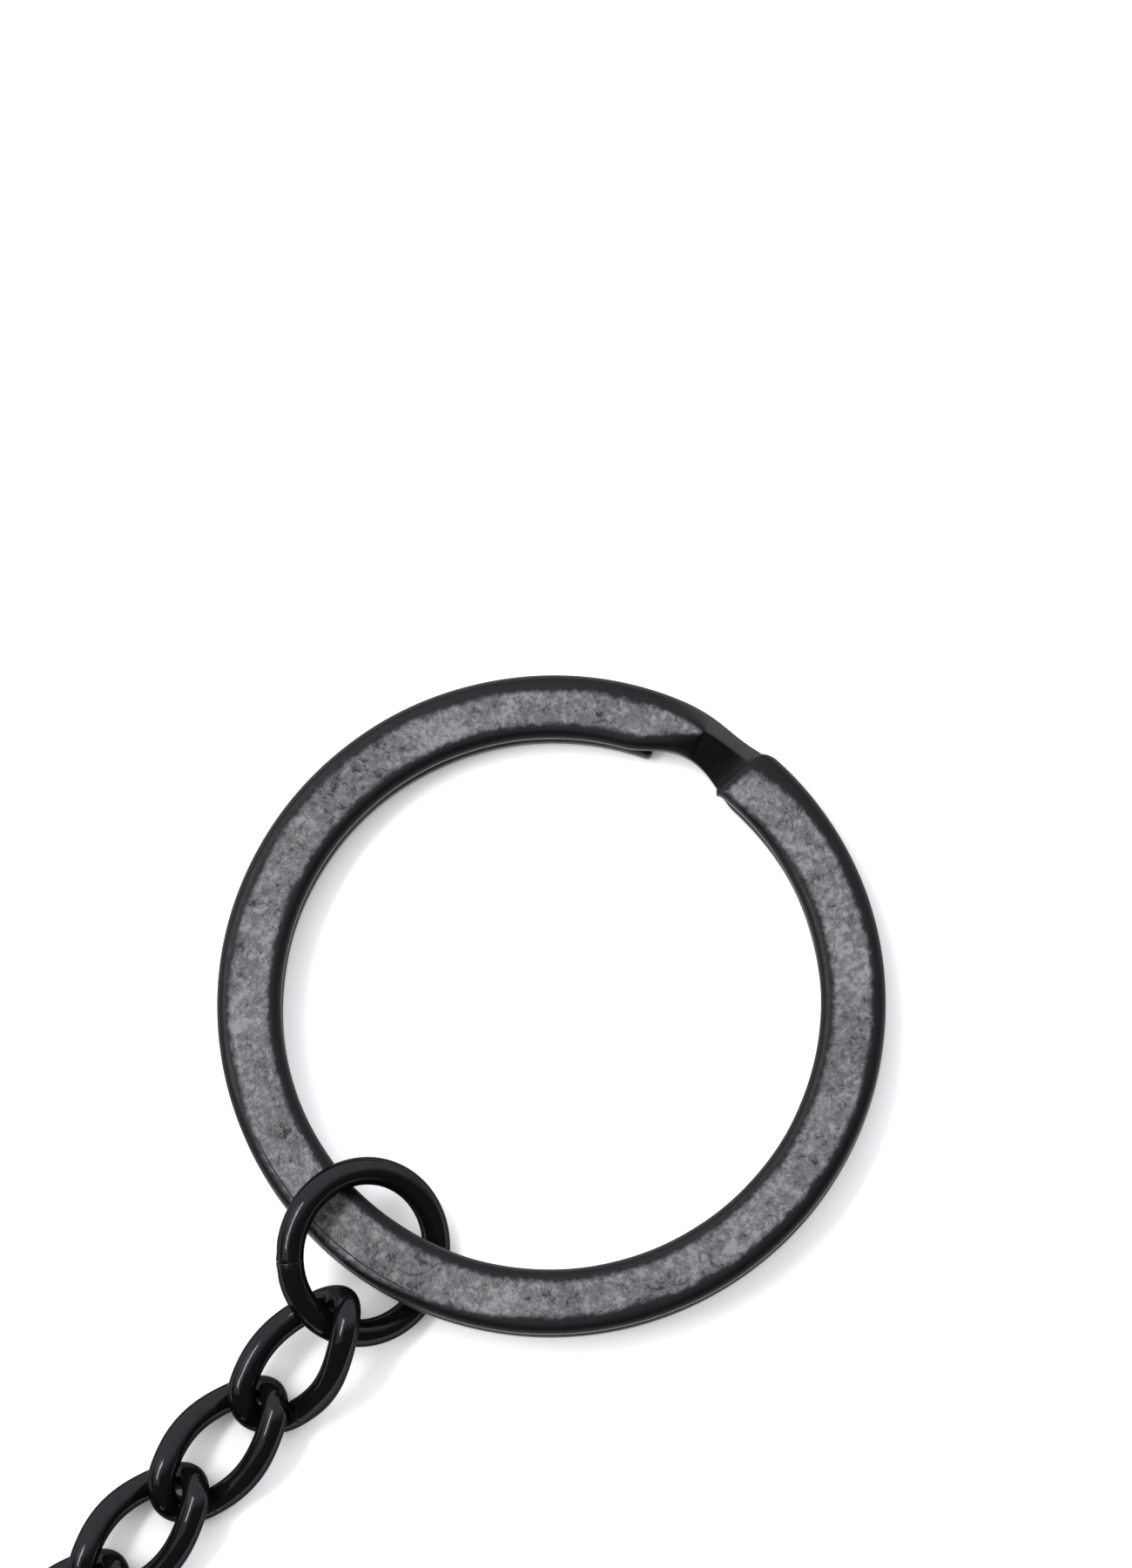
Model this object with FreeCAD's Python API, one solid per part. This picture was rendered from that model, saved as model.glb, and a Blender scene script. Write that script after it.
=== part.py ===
import FreeCAD, Part
import math
import os

from FreeCAD import Placement, Rotation, Vector

# Split ring: one flat-pressed wire wound twice, all sizes in mm
RING_OD = 28.0
RING_ID = 22.6
TURN_T = 0.80
TURN_GAP = 0.04
EDGE_BULGE = 0.30
STEP_AT = 102.3
STEP_HALF = 8.4
TIP_REACH = 1.1
NECK_HALF = 14.0
NECK_INNER = 0.62
NECK_OUTER = 0.10
NECK_RISE = 0.42
END_SLANT = 2.3
END_ROUND_OUT = 0.50
END_ROUND_IN = 0.22
RING_TILT = 3.1
RING_LIFT_AT = 290.0

# Jump ring between the split ring and the chain
JUMP_R = 3.40
JUMP_WIRE = 1.18
JUMP_SEAM = 0.04
JUMP_AT = (1.275, -12.965, 2.485)
JUMP_TILT = 33.6
JUMP_LEAN_AT = 20.0
JUMP_SEAM_AT = 228.0

# Chain links: twisted ovals of round wire
LINK_HALF_LENGTH = 3.15
LINK_HALF_WIDTH = 1.60
LINK_END_R = 1.35
LINK_TWIST = 100.0
LINK_WIRE = 1.16
LINK_SEAM = 0.04
LINK_SEAM_Y = -1.9
LINK_PITCH = 4.86
LINK_LIES_AT = 1.33
CHAIN_X = 2.20
LINK_2_Y = -23.0
LINK_1_AT = (2.285, -18.06, 2.05)
LINK_1_TURN = (16.15, -6.7, -1.0)

# Small open ring that ends the chain
END_R = 2.60
END_WIRE = 1.0
END_SEAM = 0.04
END_AT = (2.27, -37.15, 1.67)
END_TILT = 26.6
END_LEAN_AT = 165.9
END_SEAM_AT = -60.0

# The origin is the middle of the whole part's footprint, on the surface it lies on
FOOTPRINT_MIDDLE = (0.0, -13.12)


def polar(radius, degrees, z=0.0):
    a = math.radians(degrees)
    return Vector(radius * math.cos(a), radius * math.sin(a), z)


def section(degrees, r_in, r_out, z_mid, thick):
    """Closed outline of the pressed wire on the radial plane at this angle."""
    half = thick / 2.0
    top_in = polar(r_in + EDGE_BULGE, degrees, z_mid + half)
    top_out = polar(r_out - EDGE_BULGE, degrees, z_mid + half)
    low_out = polar(r_out - EDGE_BULGE, degrees, z_mid - half)
    low_in = polar(r_in + EDGE_BULGE, degrees, z_mid - half)
    outer = Part.Arc(top_out, polar(r_out, degrees, z_mid), low_out)
    inner = Part.Arc(low_in, polar(r_in, degrees, z_mid), top_in)
    top = Part.LineSegment(top_in, top_out)
    low = Part.LineSegment(low_out, low_in)
    edges = [top.toShape(), outer.toShape(), low.toShape(), inner.toShape()]
    return Part.Wire(edges)


def turn_sector(z_mid, start, span):
    """A stretch of one turn of the coil, of constant section."""
    face = Part.Face(section(start, RING_ID / 2.0, RING_OD / 2.0, z_mid, TURN_T))
    return face.revolve(Vector(0, 0, 0), Vector(0, 0, 1), span)


def end_mask(tip, side):
    """Plan outline of a free end: slanted across, with its two corners rounded."""
    far = tip + side * 12.0
    inner_tip = polar(RING_ID / 2.0, tip)
    outer_tip = polar(RING_OD / 2.0, tip + side * END_SLANT)
    outer_far = polar(RING_OD / 2.0 + 1.5, far)
    inner_far = polar(RING_ID / 2.0 - 0.3, far)
    corners = [inner_tip, outer_tip, outer_far, inner_far, inner_tip]
    mask = Part.Face(Part.makePolygon(corners)).extrude(Vector(0, 0, 4))
    mask.translate(Vector(0, 0, -2))
    mask = rounded_upright(mask, outer_tip, END_ROUND_OUT)
    return rounded_upright(mask, inner_tip, END_ROUND_IN)


def rounded_upright(solid, corner, radius):
    for edge in solid.Edges:
        middle = edge.valueAt((edge.FirstParameter + edge.LastParameter) / 2.0)
        if middle.distanceToPoint(Vector(corner.x, corner.y, 0)) < 0.05:
            return solid.makeFillet(radius, [edge])
    raise ValueError("the mask has no upright edge at this corner")


def free_end(z_mid, tip, side):
    """The last few degrees of a turn, trimmed to the shape of the free end."""
    reach = 8.0
    start = tip if side > 0 else tip - reach
    return turn_sector(z_mid, start, reach).common(end_mask(tip, side))


def neck_section(beta):
    """Section of the step between the turns, beta degrees from its middle."""
    level = (TURN_T + TURN_GAP) / 2.0
    inside = max(-1.0, min(1.0, beta / STEP_HALF))
    z_mid = level * math.sin(math.pi / 2.0 * inside)
    narrow = math.cos(math.pi / 2.0 * beta / NECK_HALF) ** 2
    rise = math.cos(math.pi / 2.0 * inside) ** 2
    r_in = RING_ID / 2.0 + NECK_INNER * narrow
    r_out = RING_OD / 2.0 - NECK_OUTER * narrow
    return section(STEP_AT + beta, r_in, r_out, z_mid, TURN_T + NECK_RISE * rise)


def neck():
    """The stretch of wire that steps from the upper turn down to the lower one."""
    betas = (-14.0, -11.0, -8.4, -6.0, -4.0, -2.0, 0.0, 2.0, 4.0, 6.0, 8.4, 11.0, 14.0)
    return Part.makeLoft([neck_section(b) for b in betas], True, False)


def split_ring():
    level = (TURN_T + TURN_GAP) / 2.0
    reach = 8.0
    upper_span = 360.0 - NECK_HALF - STEP_HALF - reach
    upper = turn_sector(level, STEP_AT + NECK_HALF, upper_span + TIP_REACH)
    upper_tip = free_end(level, STEP_AT - STEP_HALF + TIP_REACH, -1)
    lower = turn_sector(-level, STEP_AT + STEP_HALF + reach, upper_span)
    lower_tip = free_end(-level, STEP_AT + STEP_HALF, 1)
    ring = neck().fuse([upper, upper_tip, lower, lower_tip])
    return ring.removeSplitter().Solids[0]


def ring_placement():
    """The ring lies tilted: its far side on the surface, this side on the jump ring."""
    height = TURN_T + TURN_GAP / 2.0
    lift = math.radians(RING_TILT)
    up = RING_OD / 2.0 * math.sin(lift) + height * math.cos(lift)
    axis = polar(1.0, RING_LIFT_AT - 90.0)
    return Placement(Vector(0, 0, up), Rotation(axis, RING_TILT))


def open_ring(radius, wire, seam, seam_at):
    """A round-wire ring around Z whose two cut ends face each other."""
    gap = math.degrees(seam / radius)
    ring = Part.makeTorus(radius, wire / 2.0, Vector(0, 0, 0), Vector(0, 0, 1), 0, 360, 360 - gap)
    ring.rotate(Vector(0, 0, 0), Vector(0, 0, 1), seam_at + gap / 2.0)
    return ring


def leaning(at, tilt, lean_at):
    """Placement whose Z axis leans from upright by tilt, toward the plan angle lean_at."""
    axis = polar(1.0, lean_at + 90.0)
    return Placement(Vector(*at), Rotation(axis, tilt))


def twisted(x, y):
    """Point of the flat oval, turned about the chain's length in step with its place on it."""
    a = math.radians(LINK_TWIST / 2.0) * y / LINK_HALF_LENGTH
    return Vector(x * math.cos(a), y, x * math.sin(a))


def link_path():
    """Centre line of a link, from one lip of its seam round to the other."""
    c = LINK_HALF_LENGTH - LINK_END_R
    b = LINK_HALF_WIDTH
    side_r = (b * b + c * c - LINK_END_R ** 2) / (2.0 * (b - LINK_END_R))
    join = math.atan2(c, side_r - b)
    seam = math.asin(LINK_SEAM_Y / side_r)
    lip = LINK_SEAM / 2.0 / side_r
    points = side_points(b - side_r, side_r, seam + lip, join, 4)
    points += end_points(c, join, math.pi - join, 7)
    points += side_points(side_r - b, side_r, math.pi - join, math.pi + join, 6)
    points += end_points(-c, math.pi + join, 2.0 * math.pi - join, 7)
    points += side_points(b - side_r, side_r, -join, seam - lip, 2)
    points.append(side_point(b - side_r, side_r, seam - lip))
    curve = Part.BSplineCurve()
    curve.interpolate(points)
    return curve


def side_point(x, radius, angle):
    return twisted(x + radius * math.cos(angle), radius * math.sin(angle))


def side_points(x, radius, start, stop, count):
    step = (stop - start) / count
    return [side_point(x, radius, start + step * i) for i in range(count)]


def end_points(y, start, stop, count):
    step = (stop - start) / count
    angles = [start + step * i for i in range(count)]
    return [twisted(LINK_END_R * math.cos(a), y + LINK_END_R * math.sin(a)) for a in angles]


def chain_link():
    path = link_path()
    start = path.value(path.FirstParameter)
    along = path.tangent(path.FirstParameter)[0]
    circle = Part.makeCircle(LINK_WIRE / 2.0, start, along)
    return Part.Wire([path.toShape()]).makePipeShell([Part.Wire([circle])], True, False)


def link_placement(number):
    if number == 1:
        about_x, about_y, about_z = LINK_1_TURN
        return Placement(Vector(*LINK_1_AT), Rotation(about_z, about_y, about_x))
    y = LINK_2_Y - LINK_PITCH * (number - 2)
    return Placement(Vector(CHAIN_X, y, LINK_LIES_AT), Rotation())


def export(shape, placement, name):
    to_origin = Placement(Vector(-FOOTPRINT_MIDDLE[0], -FOOTPRINT_MIDDLE[1], 0), Rotation())
    placed = shape.copy()
    placed.Placement = to_origin.multiply(placement).multiply(placed.Placement)
    placed.exportStep("parts/" + name + ".step")


os.makedirs("parts", exist_ok=True)
export(split_ring(), ring_placement(), "split_ring")
jump = open_ring(JUMP_R, JUMP_WIRE, JUMP_SEAM, JUMP_SEAM_AT)
export(jump, leaning(JUMP_AT, JUMP_TILT, JUMP_LEAN_AT), "jump_ring")
link = chain_link()
for number in (1, 2, 3, 4):
    export(link, link_placement(number), "chain_link_" + str(number))
end = open_ring(END_R, END_WIRE, END_SEAM, END_SEAM_AT)
export(end, leaning(END_AT, END_TILT, END_LEAN_AT), "end_jump_ring")
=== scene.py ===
import math

import bpy
import numpy as np
from mathutils import Matrix, Vector, noise


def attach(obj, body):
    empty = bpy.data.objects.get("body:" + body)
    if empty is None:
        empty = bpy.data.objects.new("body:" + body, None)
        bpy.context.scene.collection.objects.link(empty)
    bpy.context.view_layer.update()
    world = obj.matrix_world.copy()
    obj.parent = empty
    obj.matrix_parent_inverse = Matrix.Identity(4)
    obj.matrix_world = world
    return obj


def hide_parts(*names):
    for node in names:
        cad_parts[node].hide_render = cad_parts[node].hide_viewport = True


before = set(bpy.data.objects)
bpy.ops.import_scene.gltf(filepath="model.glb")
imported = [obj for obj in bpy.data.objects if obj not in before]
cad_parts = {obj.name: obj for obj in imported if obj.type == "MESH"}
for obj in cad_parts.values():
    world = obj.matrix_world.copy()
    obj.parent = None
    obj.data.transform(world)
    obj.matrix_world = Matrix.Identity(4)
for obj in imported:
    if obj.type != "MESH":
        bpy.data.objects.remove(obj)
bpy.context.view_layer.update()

MM = 0.001

# Split ring, in mm and degrees, in its own plane; RING_AT is its centre in the CAD frame
RING_OUT = 14.0
RING_IN = 11.27
TURN_T = 0.80
LEVEL = 0.42
STEP_AT = 102.3
STEP_HALF = 8.4
NECK_HALF = 14.0
END_SLANT = 2.3
TIP_REACH = 1.1
END_EASE = 0.28
CORNER_ROUND = 0.55
EDGE_ROUND = 0.24
RING_AT = (0.0, 13.12, 1.576)
RING_TILT = 3.1
RING_LEAN_AT = 110.0
RIDGE_AT = 13.2
BAND_MIDDLE = 12.65
LOOK_INSET = 0.014
STEP_SQUEEZE = 0.65
STEP_SWELL = 0.21
STEP_DENT = 0.15
LIP_OUT = 0.15
RELIEF_DEEP = 0.03
CAP_MARGIN = 0.34
PER_DEGREE = BAND_MIDDLE * math.pi / 180.0
STEP_MIDDLE = 360.0 - STEP_HALF
LAST_TURN = 720.0 - 2.0 * STEP_HALF

# Width of the dark border inside and outside the pressed flat, in mm, and how it changes on the way
BORDER_IN = 0.43
BORDER_OUT = 0.525
BORDER_SWAY = 0.07
BORDER_SWAY_AT = 62.0
BORDER_NARROW_AT = 181.0
OPENING_POWERS = (0.30, 0.42, 0.50)

# Round-wire rings: centre, tilt, lean direction, wire-centre radius, wire, seam gap and place
JUMP = dict(
    at=(1.275, 0.155, 2.485),
    tilt=33.6,
    lean=20.0,
    radius=3.40,
    wire=1.18,
    seam=0.015,
    seam_at=228.0,
)
END = dict(
    at=(2.27, -24.03, 1.67),
    tilt=26.6,
    lean=165.9,
    radius=2.60,
    wire=1.0,
    seam=0.015,
    seam_at=-60.0,
)
WIRE_SIDES = 32
WIRE_RIM = 0.035
WIRE_UNEVEN = 0.004
RIM_ANGLES = (0.35, 0.7, 1.1, 1.45)

# Chain links
LINK_LONG = 3.15
LINK_WIDE = 1.60
LINK_END_R = 1.35
LINK_TWIST = 50.0
LINK_WIRE = 1.16
LINK_SEAM = 0.015
LINK_SEAM_Y = -1.85
LINKS = {
    "chain_link_1": ((2.285, -4.94, 2.05), (16.15, -6.7, -1.0)),
    "chain_link_2": ((2.20, -9.88, 1.33), (0.0, 0.0, 0.0)),
    "chain_link_3": ((2.20, -14.74, 1.33), (0.0, 0.0, 0.0)),
    "chain_link_4": ((2.20, -19.60, 1.33), (0.0, 0.0, 0.0)),
}

# Studio: the axes of the photo's view, where it looks, from how far, and how tall it is there, in mm;
# the floor's half side in m
VIEW_X = Vector((0.73847, 0.67196, -0.05603))
VIEW_Y = Vector((-0.65856, 0.73659, 0.15407))
VIEW_Z = Vector((0.14480, -0.07688, 0.98647))
VIEW_AT = Vector(RING_AT) + VIEW_X * 0.614 + VIEW_Y * 9.22
VIEW_DISTANCE = 350.0
VIEW_TALL = 65.62158
SENSOR = 36.0
FLOOR_HALF = 0.6


def leaning(at, tilt, lean_at):
    a = math.radians(lean_at + 90.0)
    axis = Vector((math.cos(a), math.sin(a), 0.0))
    return Matrix.Translation(at) @ Matrix.Rotation(math.radians(tilt), 4, axis)


def smooth(x):
    x = np.clip(x, 0.0, 1.0)
    return x * x * (3.0 - 2.0 * x)


def wander(s, seed, scale):
    """Seeded smooth noise along a length, about -1 to 1."""
    return np.array([noise.noise(Vector((v * scale, seed * 7.31, seed * 1.7))) * 2.0 for v in s])


def bar_mesh(name, rings, marks):
    """Mesh of a bar from its cross sections (stations, points, 3), in mm, capped at both ends."""
    n, m, _ = rings.shape
    verts = [tuple(v) for v in (rings.reshape(-1, 3) * MM)]
    faces = []
    for i in range(n - 1):
        a, b = i * m, (i + 1) * m
        for j in range(m):
            k = (j + 1) % m
            faces.append((a + j, a + k, b + k, b + j))
    for base, flip in ((0, True), ((n - 1) * m, False)):
        for j in range(m // 2 - 1):
            quad = (base + j, base + j + 1, base + m - 2 - j, base + m - 1 - j)
            faces.append(quad[::-1] if flip else quad)
    mesh = bpy.data.meshes.new(name)
    mesh.from_pydata(verts, [], faces)
    for key, values in marks.items():
        layer = mesh.attributes.new(key, "FLOAT", "POINT")
        layer.data.foreach_set("value", np.asarray(values, np.float32).ravel())
    mesh.polygons.foreach_set("use_smooth", [True] * len(faces))
    mesh.validate()
    mesh.update()
    obj = bpy.data.objects.new(name, mesh)
    bpy.context.collection.objects.link(obj)
    return obj


def facing_out(obj):
    """Turns the faces outward if the mesh came out inside out."""
    mesh = obj.data
    mesh.calc_loop_triangles()
    volume = 0.0
    for t in mesh.loop_triangles:
        a, b, c = (mesh.vertices[i].co for i in t.vertices)
        volume += a.dot(b.cross(c))
    if volume < 0.0:
        mesh.flip_normals()
    return obj


def placed(obj, matrix_mm):
    m = matrix_mm.copy()
    m.translation = m.translation * MM
    obj.data.transform(m)
    return obj


# ---------------------------------------------------------------- split ring
def turn_angles():
    """Degrees travelled from the upper free end, closer together at the ends and at the step."""
    first, last = -TIP_REACH, LAST_TURN
    ease = [END_EASE * (1.0 - math.sin(v)) for v in np.linspace(math.pi / 2.0, 0.25, 8)]
    ease = [d / PER_DEGREE for d in ease]
    t = [first + d for d in ease]
    while t[-1] < last - ease[-1] - 0.5:
        near = min(t[-1] - first, last - t[-1], abs(t[-1] - STEP_MIDDLE) - 12.0)
        t.append(t[-1] + (0.3 if near < 3.0 else 0.6))
    return np.array(t[:-1] + [last - d for d in ease[::-1]])


def hump(t, at, width):
    return np.exp(-(((t - at) / width) ** 2))


def eased(d):
    """How much the section has shrunk all round at distance d from a free end."""
    x = np.clip(1.0 - d / END_EASE, 0.0, 1.0)
    return END_EASE * (1.0 - np.sqrt(1.0 - x * x * 0.9999))


def edge_profile(reach, half):
    """Points up the wire's side: upright wall, tight rounding, then a black margin sinking to it."""
    w = min(EDGE_ROUND, 0.8 * reach)
    foot, top, m = 0.40 * half, half - 0.03, reach - w
    out = [(reach - 0.005, 0.0), (reach, 0.7 * foot), (reach - 0.003, foot)]
    for a in (0.15, 0.4, 0.65, 0.9):
        v = a * math.pi / 2.0
        x = 0.35 * math.cos(v) + 0.65 * (1.0 - a)
        z = 0.35 * math.sin(v) + 0.65 * a
        out.append((m + w * x, foot + (top - foot) * z))
    return out + [(m + 0.010, top - 0.008), (m * 0.96, top + 0.001), (m * 0.5, half - 0.012), (0.0, half)]


def roof_profile(reach, half):
    """The same points for the step, where the side climbs in one long slope to a ridge."""
    out = [(reach - 0.006, 0.0), (reach - 0.002, 0.15 * half)]
    for u in (0.0, 0.08, 0.2, 0.35, 0.5, 0.7, 0.85, 0.96, 1.0):
        v = u * math.pi / 2.0
        x = 0.14 * math.cos(v) + 0.86 * (1.0 - u)
        z = 0.14 * math.sin(v) + 0.86 * u
        out.append((reach * x, half * (0.32 + 0.68 * z)))
    return out


# Where the points of the pressed flat lie, from its inner to its outer border
FLAT_AT = (0.012, 0.08, 0.2, 0.35, 0.5, 0.65, 0.8, 0.92, 0.988)

# How much painted floor reflection lightens the side at each point of a profile: the edged side, and the
# step's outer and inner slope
SHEEN_EDGED = np.array([1.0, 1.0, 1.0, 0.7, 0.35, 0.1, 0.0, 0.0, 0.0, 0.0, 0.0])
SHEEN_OUTER = np.array([1.0] * 9 + [0.5, 0.0])
SHEEN_INNER = np.array([0.6, 0.3] + [0.0] * 9)


def side_points(reach, half, opened, sheen_roof):
    """Points (x, z, distance inside the pressed border, painted floor reflection) from the side's middle
    up.
    """
    edged, roofed = np.array(edge_profile(reach, half)), np.array(roof_profile(reach, half))
    points = edged * opened + roofed * (1.0 - opened)
    mark = -points[:, 0] - np.array([0.3, 0.2, 0.1] + [0.0] * 8)
    painted_sheen = SHEEN_EDGED * opened + sheen_roof * (1.0 - opened)
    return [(x, z, e, w) for (x, z), e, w in zip(points, mark, painted_sheen)]


def pressed_sides(r_in, r_out, beta, t, s, seed):
    """Inner and outer border of the pressed flat, which narrows to a point where the step begins."""
    free = np.minimum(np.abs(t + TIP_REACH), np.abs(LAST_TURN - t))
    soft_in = BORDER_IN + 0.035 * wander(s, seed, 0.9) + 0.02 * wander(s, seed + 1, 2.3)
    soft_in = soft_in - 0.31 * np.exp(-((free / 20.0) ** 2))
    soft_out = BORDER_OUT - BORDER_SWAY * np.cos(np.radians(2.0 * (t - BORDER_SWAY_AT)))
    soft_out = soft_out + 0.05 * wander(s, seed + 2, 0.8) + 0.03 * wander(s, seed + 3, 2.1)
    soft_out = soft_out + 0.38 * np.exp(-((free / 9.0) ** 2)) - 0.42 * hump(t, BORDER_NARROW_AT, 30.0)
    along = np.clip((beta - 0.9) / 10.0, 0.0, 1.0)
    beyond = smooth((-beta - STEP_HALF) / 6.0)
    opening = [np.where(beta < -STEP_HALF, beyond, along ** power) for power in OPENING_POWERS]
    low = RIDGE_AT - (RIDGE_AT - r_in - soft_in) * opening[0]
    high = RIDGE_AT + (r_out - soft_out - RIDGE_AT) * opening[2]
    return low, high, opening[1]


def ring_sections():
    t = turn_angles()
    beta = STEP_MIDDLE - t
    inside = np.clip(beta / STEP_HALF, -1.0, 1.0)
    z_mid = LEVEL * np.sin(math.pi / 2.0 * inside)
    neck = np.abs(beta) < NECK_HALF
    waist = np.where(neck, np.cos(math.pi / 2.0 * (beta - 0.8) / NECK_HALF) ** 2, 0.0)
    rise = np.cos(math.pi / 2.0 * inside) ** 2
    s = t * PER_DEGREE
    r_in = RING_IN + STEP_SQUEEZE * waist + 0.010 * (1.0 + wander(s, 3, 0.30))
    r_out = RING_OUT - STEP_DENT * hump(beta, -5.5, 5.5) - LOOK_INSET - 0.006 * wander(s, 4, 0.27)
    half = TURN_T / 2.0 + STEP_SWELL * rise
    a_top, b_top, open_top = pressed_sides(r_in, r_out, beta, t, s, 20)
    a_low, b_low, open_low = pressed_sides(r_in, r_out, -beta, t, s, 40)
    shrink = eased((t - t[0]) * PER_DEGREE) + eased((t[-1] - t) * PER_DEGREE)

    shapes, edge, across, painted_sheen = [], [], [], []
    for i in range(len(t)):
        top = (a_top[i], b_top[i], open_top[i], 1.0)
        low = (a_low[i], b_low[i], open_low[i], -1.0)
        rows = []
        for a, b, opened, side in (top, low):
            up = side_points(a - r_in[i], half[i], opened, SHEEN_INNER)
            up = [(a - x, side * z, e, w) for x, z, e, w in up]
            mid = [(a + (b - a) * v, side * half[i], min(v, 1.0 - v) * (b - a), 0.0) for v in FLAT_AT]
            down = side_points(r_out[i] - b, half[i], opened, SHEEN_OUTER)[::-1]
            down = [(b + x, side * z, e, w) for x, z, e, w in down]
            rows.append(up + mid + down)
        upper, lower = rows
        loop = np.array(upper + lower[::-1][1:-1])
        middle = (r_in[i] + r_out[i]) / 2.0
        loop[:, 0] = middle + (loop[:, 0] - middle) * (1.0 - shrink[i] / (r_out[i] - middle))
        loop[:, 1] *= 1.0 - shrink[i] / half[i]
        shapes.append(loop[:, :2])
        edge.append(loop[:, 2])
        painted_sheen.append(loop[:, 3])
        across.append(loop[:, 0] - BAND_MIDDLE)
    return t, z_mid, np.array(shapes), np.array(edge), np.array(across), np.array(painted_sheen), s


def end_setback(r):
    """How many degrees a free end stands back at this radius: slanted, its outer corner rounded."""
    x = np.clip((r - RING_IN) / (RING_OUT - RING_IN), 0.0, 1.0)
    out = np.clip((r - (RING_OUT - CORNER_ROUND)) / CORNER_ROUND, 0.0, 1.0)
    inn = np.clip((RING_IN + 0.10 - r) / 0.10, 0.0, 1.0)
    corner = CORNER_ROUND * (1.0 - np.sqrt(1.0 - out**2 * 0.98)) + 0.06 * inn**2
    return END_SLANT * x + corner / PER_DEGREE


def split_ring():
    t, z_mid, shapes, edge, across, painted_sheen, s = ring_sections()
    first, last = t[0], t[-1]
    r, z = shapes[:, :, 0], shapes[:, :, 1]
    # Relief of the pressed faces, always inward
    relief = np.zeros_like(r)
    for i, j in zip(*np.nonzero(edge > 0.02)):
        p = Vector((s[i] * 1.4, r[i, j] * 2.2, 3.0 if z[i, j] > 0 else 9.0))
        relief[i, j] = 0.010 * min(1.0, edge[i, j] / 0.3) * (1.0 + noise.noise(p) * 1.6)
    z = z - np.sign(z) * np.clip(relief, 0.0, RELIEF_DEEP)
    # The small lip that the cutter left on the inner corner of the upper end
    near_end = hump((t - first) * PER_DEGREE, 0.10, 0.13)[:, None]
    lip = near_end * np.clip(1.0 - (r - RING_IN) / 0.5, 0.0, 1.0) ** 2
    r = r - LIP_OUT * lip
    setback = end_setback(r)
    fade = 10.0
    shift = setback * (1.0 - smooth((t - first) / fade))[:, None]
    shift = shift - setback * (1.0 - smooth((last - t) / fade))[:, None]
    phi = np.radians(STEP_AT - STEP_HALF - (t[:, None] + shift))
    stack = np.stack([r * np.cos(phi), r * np.sin(phi), z + z_mid[:, None]], axis=2)
    from_end = np.minimum(t - first, last - t) * PER_DEGREE
    marks = {
        "edge": np.minimum(edge, from_end[:, None] - CAP_MARGIN),
        "across": across,
        "painted_sheen": painted_sheen,
        "along": np.repeat(s[:, None], r.shape[1], 1),
        "under": (z < 0).astype(float),
    }
    obj = facing_out(bar_mesh("split_ring_coil", stack, marks))
    return placed(obj, leaning(RING_AT, RING_TILT, RING_LEAN_AT))


# ---------------------------------------------------------------- round wire
def tube(name, path, wire, seed):
    """Round wire along a path (stations, 3) in mm, its two cut ends rounded at the rim."""
    path = np.asarray(path, float)
    tangent = np.gradient(path, axis=0)
    tangent /= np.linalg.norm(tangent, axis=1)[:, None]
    s = np.concatenate([[0.0], np.cumsum(np.linalg.norm(np.diff(path, axis=0), axis=1))])
    normal = np.cross(tangent[0], [0.0, 0.0, 1.0])
    if np.linalg.norm(normal) < 0.2:
        normal = np.cross(tangent[0], [1.0, 0.0, 0.0])
    normal /= np.linalg.norm(normal)
    frames = []
    for i in range(len(path)):
        normal = normal - tangent[i] * normal.dot(tangent[i])
        normal /= np.linalg.norm(normal)
        frames.append((normal.copy(), np.cross(tangent[i], normal)))
    a = (np.arange(WIRE_SIDES) + 0.5) * 2.0 * math.pi / WIRE_SIDES
    rings, around, along, lip = [], [], [], []
    for i, (u, v) in enumerate(frames):
        near = min(s[i], s[-1] - s[i])
        dent = 0.012 * math.exp(-((near - 0.35) / 0.22) ** 2)
        radius = wire / 2.0 - WIRE_UNEVEN * (1.0 + noise.noise(Vector((s[i] * 0.6, seed * 3.3, 0.0))))
        pinch = 1.0 - dent * 4.0 * np.clip(np.cos(a - 0.6 * seed), 0.0, 1.0) ** 3
        ring = path[i] + radius * pinch[:, None] * (np.cos(a)[:, None] * u + np.sin(a)[:, None] * v)
        rings.append(ring)
        around.append(a)
        along.append(np.full(WIRE_SIDES, s[i]))
        lip.append(np.full(WIRE_SIDES, near))
    rings = np.array(rings)
    rings[0] += tangent[0] * WIRE_RIM
    rings[-1] -= tangent[-1] * WIRE_RIM

    def end(k, sign):
        out = []
        centre = rings[k].mean(axis=0)
        spoke = rings[k] - centre
        length = np.linalg.norm(spoke, axis=1)[:, None]
        for v in RIM_ANGLES:
            inset = WIRE_RIM * (1.0 - math.cos(v))
            beyond = sign * tangent[k] * WIRE_RIM * math.sin(v)
            out.append(centre + spoke * (length - inset) / length - beyond)
        return out

    head, tail = end(0, 1.0), end(-1, -1.0)

    def padded(v):
        v = np.array(v)
        return np.concatenate([np.repeat(v[:1], len(head), 0), v, np.repeat(v[-1:], len(tail), 0)])

    stack = np.concatenate([np.array(head[::-1]), rings, np.array(tail)])
    marks = {"around": padded(around), "along": padded(along), "lip": padded(lip)}
    return facing_out(bar_mesh(name, stack, marks))


def open_ring(name, d, seed):
    gap = d["seam"] / d["radius"]
    a0 = math.radians(d["seam_at"]) + gap / 2.0
    angles = np.linspace(a0, a0 + 2.0 * math.pi - gap, 150)
    path = [(d["radius"] * math.cos(a), d["radius"] * math.sin(a), 0.0) for a in angles]
    obj = tube(name, path, d["wire"], seed)
    return placed(obj, leaning(d["at"], d["tilt"], d["lean"]))


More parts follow.
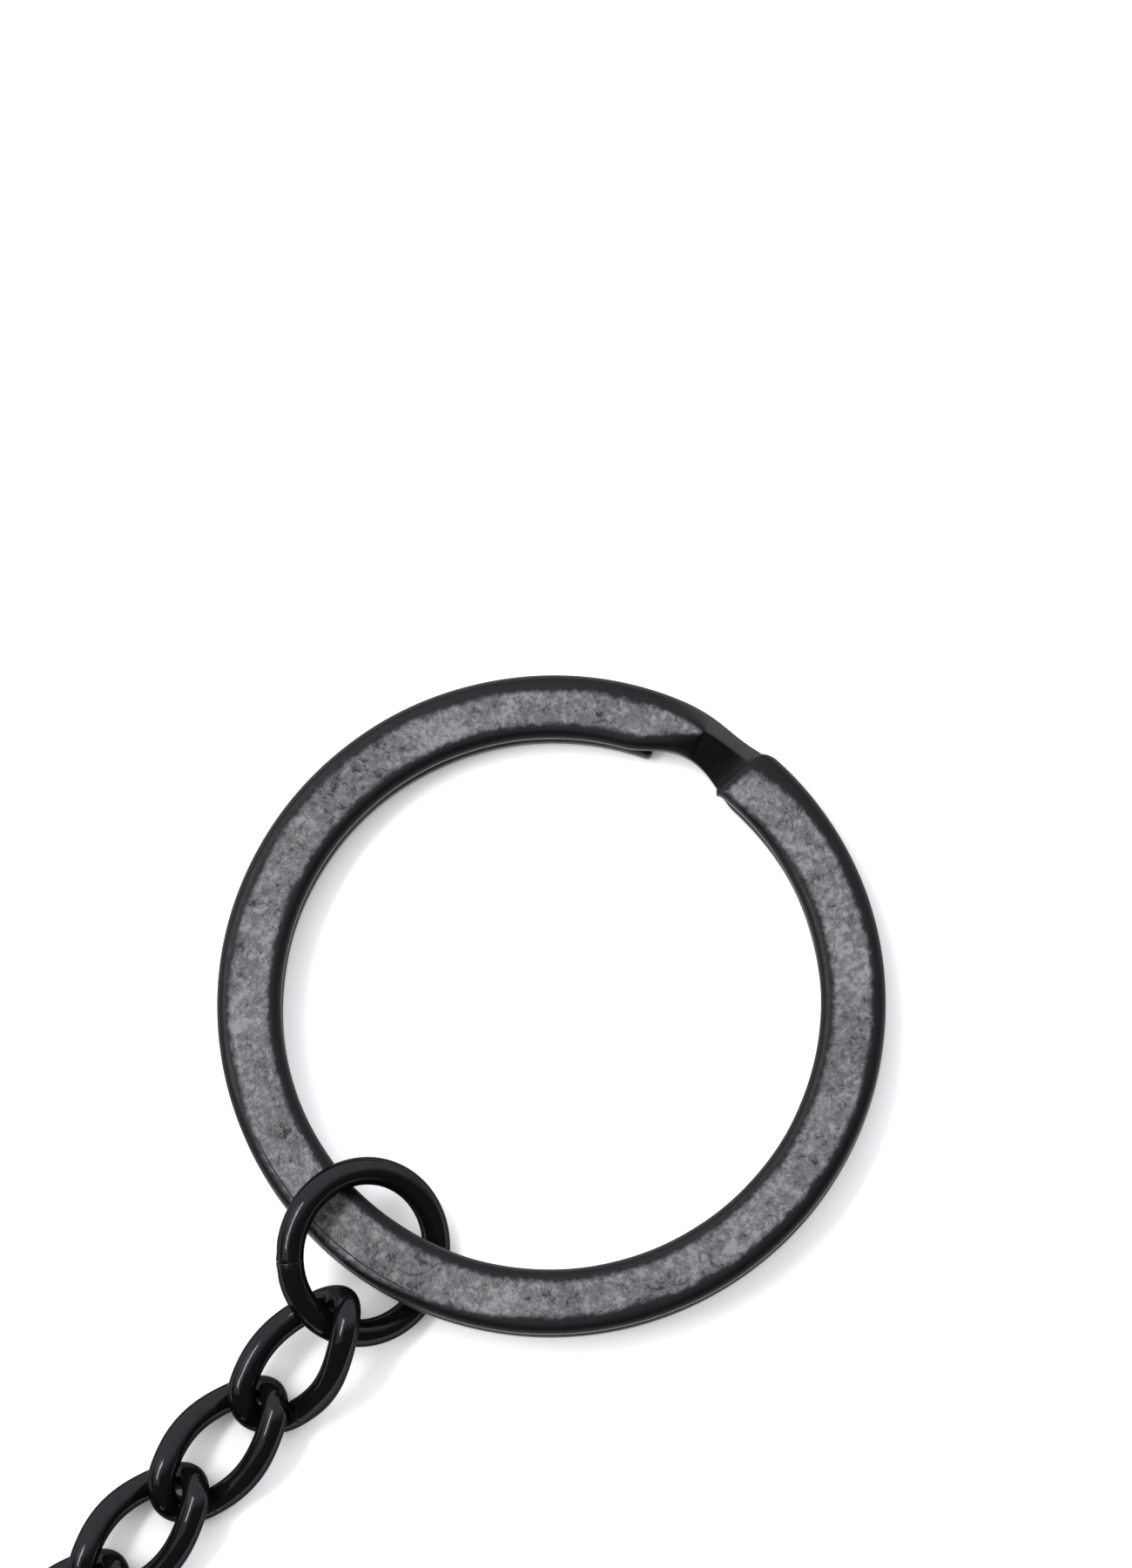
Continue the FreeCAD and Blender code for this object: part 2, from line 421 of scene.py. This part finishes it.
def link_path():
    c = LINK_LONG - LINK_END_R
    b = LINK_WIDE
    side_r = (b * b + c * c - LINK_END_R ** 2) / (2.0 * (b - LINK_END_R))
    join = math.atan2(c, side_r - b)
    seam = math.asin(LINK_SEAM_Y / side_r)
    lip = LINK_SEAM / 2.0 / side_r
    flat = []

    def arc(x, y, radius, start, stop, n):
        for a in np.linspace(start, stop, n, endpoint=False):
            flat.append((x + radius * math.cos(a), y + radius * math.sin(a)))

    arc(b - side_r, 0.0, side_r, seam + lip, join, 34)
    arc(0.0, c, LINK_END_R, join, math.pi - join, 34)
    arc(side_r - b, 0.0, side_r, math.pi - join, math.pi + join, 44)
    arc(0.0, -c, LINK_END_R, math.pi + join, 2.0 * math.pi - join, 34)
    arc(b - side_r, 0.0, side_r, -join, seam - lip, 7)
    flat.append((b - side_r + side_r * math.cos(seam - lip), side_r * math.sin(seam - lip)))
    path = []
    for x, y in flat:
        a = math.radians(LINK_TWIST) * y / LINK_LONG
        path.append((x * math.cos(a), y, x * math.sin(a)))
    return path


def link(name, at, turn, seed):
    obj = tube(name, link_path(), LINK_WIRE, seed)
    rx, ry, rz = (math.radians(v) for v in turn)
    m = Matrix.Rotation(rz, 4, "Z") @ Matrix.Rotation(ry, 4, "Y") @ Matrix.Rotation(rx, 4, "X")
    return placed(obj, Matrix.Translation(at) @ m)


# ---------------------------------------------------------------- materials
class Nodes:
    """Short calls for building a material's node tree."""

    def __init__(self, name):
        self.mat = bpy.data.materials.new(name)
        self.mat.use_nodes = True
        self.tree = self.mat.node_tree
        self.shader = self.tree.nodes["Principled BSDF"]

    def new(self, kind, **props):
        node = self.tree.nodes.new(kind)
        for key, value in props.items():
            setattr(node, key, value)
        return node

    def link(self, value, socket):
        if isinstance(value, bpy.types.NodeSocket):
            self.tree.links.new(value, socket)
        else:
            socket.default_value = value

    def attribute(self, name):
        return self.new("ShaderNodeAttribute", attribute_name=name).outputs["Fac"]

    def math(self, op, a, b=0.0):
        node = self.new("ShaderNodeMath", operation=op)
        for value, socket in zip((a, b), node.inputs):
            self.link(value, socket)
        return node.outputs[0]

    def vector(self, x, y, z):
        node = self.new("ShaderNodeCombineXYZ")
        for value, socket in zip((x, y, z), node.inputs):
            self.link(value, socket)
        return node.outputs[0]

    def noise(self, where, scale, detail=3.0, rough=0.6, distortion=0.0):
        node = self.new("ShaderNodeTexNoise")
        self.link(where, node.inputs["Vector"])
        node.inputs["Scale"].default_value = scale
        node.inputs["Detail"].default_value = detail
        node.inputs["Roughness"].default_value = rough
        node.inputs["Distortion"].default_value = distortion
        return node.outputs["Fac"]

    def ramp(self, value, low, high, to_low=0.0, to_high=1.0):
        node = self.new("ShaderNodeMapRange", interpolation_type="SMOOTHSTEP")
        for v, socket in zip((value, low, high, to_low, to_high), node.inputs):
            self.link(v, socket)
        return node.outputs[0]

    def mix(self, factor, a, b):
        node = self.new("ShaderNodeMix", data_type="RGBA")
        self.link(factor, node.inputs[0])
        self.link(a, node.inputs[6])
        self.link(b, node.inputs[7])
        return node.outputs[2]

    def bump(self, height, distance, strength):
        node = self.new("ShaderNodeBump")
        node.inputs["Strength"].default_value = strength
        node.inputs["Distance"].default_value = distance
        self.link(height, node.inputs["Height"])
        return node.outputs[0]


def grey(v, tint=(1.0, 1.0, 1.0)):
    return (v * tint[0], v * tint[1], v * tint[2], 1.0)


# The two faint pressed-in lines: mm out from the band's middle, and where each starts and stops along it
FAINT_LINES = ((0.88, 36.0, 46.0), (-1.17, -1.0, 5.5))


def ring_material():
    n = Nodes("pressed_black_metal")
    along, across = n.attribute("along"), n.attribute("across")
    edge, under, painted_sheen = n.attribute("edge"), n.attribute("under"), n.attribute("painted_sheen")
    where = n.vector(along, across, n.math("MULTIPLY", under, 31.0))
    slanted = n.vector(
        n.math("SUBTRACT", n.math("MULTIPLY", along, 0.45), n.math("MULTIPLY", across, 0.54)),
        n.math("ADD", n.math("MULTIPLY", along, 0.77), n.math("MULTIPLY", across, 0.64)),
        n.math("MULTIPLY", under, 17.0),
    )
    ragged = n.noise(where, 3.2, 5.0, 0.7)
    border = n.math("ADD", edge, n.math("MULTIPLY", n.math("SUBTRACT", ragged, 0.5), 0.42))
    press = n.ramp(border, -0.02, 0.15)
    patch = n.math("ADD", n.noise(where, 0.8, 3.0, 0.6), n.noise(where, 0.17, 1.0))
    blotch = n.noise(where, 2.4, 5.0, 0.66, distortion=0.8)
    fine = n.noise(slanted, 4.4, 4.0, 0.62, distortion=1.2)
    grain = n.noise(where, 15.0, 2.0, 0.65)
    speck = n.ramp(n.noise(where, 6.0, 2.0, 0.5, distortion=0.6), 0.60, 0.70)
    tone = n.math("ADD", n.math("MULTIPLY", blotch, 0.48), n.math("MULTIPLY", fine, 0.42))
    tone = n.math("SUBTRACT", tone, n.math("MULTIPLY", speck, 0.04))
    tone = n.math("ADD", tone, n.math("MULTIPLY", grain, 0.09))
    tone = n.math("ADD", tone, n.math("MULTIPLY", n.math("SUBTRACT", patch, 1.0), 0.22))
    for radius, start, stop in FAINT_LINES:
        off = n.math("ABSOLUTE", n.math("SUBTRACT", across, radius))
        inside = n.math("MULTIPLY", n.ramp(along, start, start + 1.5), n.ramp(along, stop, stop - 1.5))
        line = n.math("MULTIPLY", n.ramp(off, 0.05, 0.015, 0.0, 0.22), inside)
        tone = n.math("SUBTRACT", tone, line)
    pit, middle = grey(0.034, (0.97, 0.99, 1.06)), grey(0.128, (0.985, 1.0, 1.035))
    face = n.mix(n.ramp(tone, 0.36, 0.46), pit, middle)
    face = n.mix(n.ramp(tone, 0.46, 0.61), face, grey(0.268, (0.995, 1.0, 1.025)))
    face = n.mix(n.ramp(border, 0.02, 0.30), grey(0.034, (0.82, 0.97, 1.20)), face)
    bluish, dull = (1.0, 0.97, 1.25), (1.0, 0.98, 0.98)
    black = n.mix(n.noise(where, 1.7, 3.0), grey(0.002, bluish), grey(0.006, bluish))
    # Lighter grey on the upright walls and the step's outer slope is painted reflection of the bright floor
    sheen_grey = n.mix(ragged, grey(0.030, dull), grey(0.052, dull))
    black = n.mix(painted_sheen, black, sheen_grey)
    n.link(n.mix(press, black, face), n.shader.inputs["Base Color"])
    rough_edge = n.ramp(n.noise(where, 3.0, 3.0), 0.3, 0.7, 0.38, 0.48)
    rough_face = n.ramp(tone, 0.35, 0.65, 0.62, 0.44)
    mixed = n.math("ADD", n.math("MULTIPLY", press, n.math("SUBTRACT", rough_face, rough_edge)), rough_edge)
    n.link(mixed, n.shader.inputs["Roughness"])
    height = n.math("MULTIPLY", press, n.math("ADD", tone, n.math("MULTIPLY", fine, 0.5)))
    skin = n.noise(where, 5.0, 2.0, 0.5)
    low = n.bump(n.math("ADD", height, n.math("MULTIPLY", skin, 0.15)), 0.000022, 0.8)
    n.link(low, n.shader.inputs["Normal"])
    n.shader.inputs["IOR"].default_value = 1.28
    return n.mat


def wire_material():
    n = Nodes("gloss_black_wire")
    along, around, lip = n.attribute("along"), n.attribute("around"), n.attribute("lip")
    spin = n.vector(
        n.math("MULTIPLY", n.math("COSINE", around), 0.58),
        n.math("MULTIPLY", n.math("SINE", around), 0.58),
        n.math("MULTIPLY", along, 0.55),
    )
    spots = n.noise(spin, 5.0, 4.0, 0.6)
    fine = n.noise(spin, 13.0, 3.0, 0.6)
    wear = n.ramp(n.noise(spin, 2.1, 5.0, 0.7), 0.62, 0.76)
    seam = n.math("MULTIPLY", n.ramp(lip, 0.40, 0.02), n.ramp(spots, 0.42, 0.6))
    bluish = (1.0, 0.99, 1.08)
    base = n.mix(spots, grey(0.022, bluish), grey(0.036, bluish))
    base = n.mix(n.math("MULTIPLY", wear, 0.5), base, grey(0.070, (1.0, 1.0, 1.05)))
    base = n.mix(n.math("MULTIPLY", seam, 0.3), base, grey(0.08))
    n.link(base, n.shader.inputs["Base Color"])
    rough = n.ramp(fine, 0.3, 0.7, 0.055, 0.11)
    rough = n.math("ADD", rough, n.math("MULTIPLY", n.math("ADD", wear, seam), 0.10))
    n.link(rough, n.shader.inputs["Roughness"])
    swell = n.noise(spin, 2.2, 2.0, 0.5)
    height = n.math("ADD", n.math("MULTIPLY", spots, 0.30), n.math("MULTIPLY", fine, 0.16))
    height = n.math("ADD", height, n.math("MULTIPLY", swell, 0.54))
    n.link(n.bump(height, 0.000016, 0.6), n.shader.inputs["Normal"])
    n.shader.inputs["Metallic"].default_value = 0.85
    n.shader.inputs["Specular Tint"].default_value = (0.12, 0.12, 0.13, 1.0)
    n.shader.inputs["IOR"].default_value = 1.40
    return n.mat


def floor_material():
    """Pale floor that glows a little, its glow dimmed by ambient occlusion close to the object: painted
    light with painted contact shade.
    """
    n = Nodes("studio_floor")
    coords = n.new("ShaderNodeTexCoord").outputs["Object"]
    shade = n.noise(coords, 30.0, 3.0)
    cool = (1.0, 1.0, 1.01)
    n.link(n.mix(shade, grey(0.86, cool), grey(0.90, cool)), n.shader.inputs["Base Color"])
    n.shader.inputs["Roughness"].default_value = 0.9
    n.shader.inputs["Specular IOR Level"].default_value = 0.1
    # The floor's own glow is painted light; its strength, dimmed by ambient occlusion near the object,
    # paints contact shade
    n.shader.inputs["Emission Color"].default_value = (0.98, 0.98, 1.0, 1.0)
    contact_shade = n.new("ShaderNodeAmbientOcclusion", samples=8)
    contact_shade.inputs["Distance"].default_value = 0.003
    n.link(n.ramp(contact_shade.outputs["AO"], 0.15, 0.75, 0.05, 0.55), n.shader.inputs["Emission Strength"])
    return n.mat


# ---------------------------------------------------------------- pieces
def dress(obj, mat, body):
    obj.data.materials.append(mat)
    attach(obj, body)
    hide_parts(body)


ring_mat, wire_mat = ring_material(), wire_material()
dress(split_ring(), ring_mat, "split_ring")
dress(open_ring("jump_ring_wire", JUMP, 1), wire_mat, "jump_ring")
for index, (node, (at, turn)) in enumerate(LINKS.items()):
    dress(link(node + "_wire", at, turn, index + 2), wire_mat, node)
dress(open_ring("end_ring_wire", END, 7), wire_mat, "end_jump_ring")

# ---------------------------------------------------------------- studio
floor_mesh = bpy.data.meshes.new("floor")
corners = [(FLOOR_HALF * x, FLOOR_HALF * y, 0) for x, y in ((-1, -1), (1, -1), (1, 1), (-1, 1))]
floor_mesh.from_pydata(corners, [], [(0, 1, 2, 3)])
floor = bpy.data.objects.new("floor", floor_mesh)
bpy.context.collection.objects.link(floor)
floor_mesh.materials.append(floor_material())


def camera():
    data = bpy.data.cameras.new("camera")
    data.sensor_width = SENSOR
    data.lens = SENSOR * VIEW_DISTANCE / VIEW_TALL
    data.clip_start, data.clip_end = 0.02, 5.0
    obj = bpy.data.objects.new("camera", data)
    bpy.context.collection.objects.link(obj)
    turn = Matrix((VIEW_X, VIEW_Y, VIEW_Z)).transposed().to_4x4()
    obj.matrix_world = Matrix.Translation((VIEW_AT + VIEW_Z * VIEW_DISTANCE) * MM) @ turn
    bpy.context.scene.camera = obj


def soft_box(name, azimuth, lean, distance, size, radiance):
    """A soft box placed round the view's axis: azimuth from the picture's right, lean off the axis.

    Its first size lies along the lean and its second across it."""
    data = bpy.data.lights.new(name, "AREA")
    data.shape = "RECTANGLE"
    data.size, data.size_y = size
    data.energy = radiance * math.pi * size[0] * size[1]
    obj = bpy.data.objects.new(name, data)
    bpy.context.collection.objects.link(obj)
    az, off = math.radians(azimuth), math.radians(lean)
    outward = VIEW_X * math.cos(az) + VIEW_Y * math.sin(az)
    z = (outward * math.sin(off) + VIEW_Z * math.cos(off)).normalized()
    y = (VIEW_Y * math.cos(az) - VIEW_X * math.sin(az)).normalized()
    turn = Matrix((y.cross(z), y, z)).transposed().to_4x4()
    obj.matrix_world = Matrix.Translation(Vector(RING_AT) * MM + z * distance) @ turn


camera()
soft_box("key_light", azimuth=152.0, lean=33.0, distance=0.60, size=(0.10, 0.45), radiance=14.0)
soft_box("sky_light", azimuth=165.0, lean=38.0, distance=0.90, size=(0.90, 0.90), radiance=0.8)


def surround():
    """A soft white room, brighter toward the top of the photo's view."""
    world = bpy.data.worlds.new("studio")
    bpy.context.scene.world = world
    world.use_nodes = True
    tree = world.node_tree
    where = tree.nodes.new("ShaderNodeTexCoord")
    toward = tree.nodes.new("ShaderNodeVectorMath")
    toward.operation = "DOT_PRODUCT"
    bright = math.radians(88.0)
    toward.inputs[1].default_value = VIEW_X * math.cos(bright) + VIEW_Y * math.sin(bright)
    level = tree.nodes.new("ShaderNodeMapRange")
    level.interpolation_type = "SMOOTHSTEP"
    for socket, value in zip(level.inputs[1:5], (-0.04, 0.56, 0.10, 1.20)):
        socket.default_value = value
    tree.links.new(where.outputs["Generated"], toward.inputs[0])
    tree.links.new(toward.outputs["Value"], level.inputs[0])
    back = tree.nodes["Background"]
    back.inputs["Color"].default_value = (0.97, 0.975, 1.01, 1.0)
    tree.links.new(level.outputs[0], back.inputs["Strength"])


surround()
bpy.context.scene.view_settings.view_transform = "Standard"
